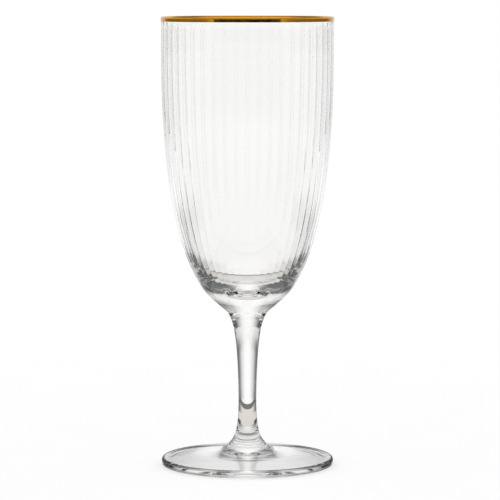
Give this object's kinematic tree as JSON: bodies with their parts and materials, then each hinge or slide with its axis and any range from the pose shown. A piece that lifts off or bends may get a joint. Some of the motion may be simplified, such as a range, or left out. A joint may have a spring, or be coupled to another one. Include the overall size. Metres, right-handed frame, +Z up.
{
  "type": "water goblet",
  "caption": "Tall stemmed drinking glass with a deep rounded bowl, fine vertical ribs inside, a gold rim, a slim waisted stem and a flat disc foot.",
  "frame": {"origin": "centre of the ring that the foot stands on, at table height", "axes": "+Z up along the goblet's axis; the glass is round, so X and Y are alike"},
  "size_m": [0.0748, 0.0748, 0.1948],
  "materials": {
    "clear_glass": "clear, fire-polished",
    "fired_gold": "bright fired gold"
  },
  "bodies": {
    "root": {"bowl": "clear_glass", "stem": "clear_glass", "foot": "clear_glass", "gold_rim": "fired_gold"}
  },
  "joints": []
}
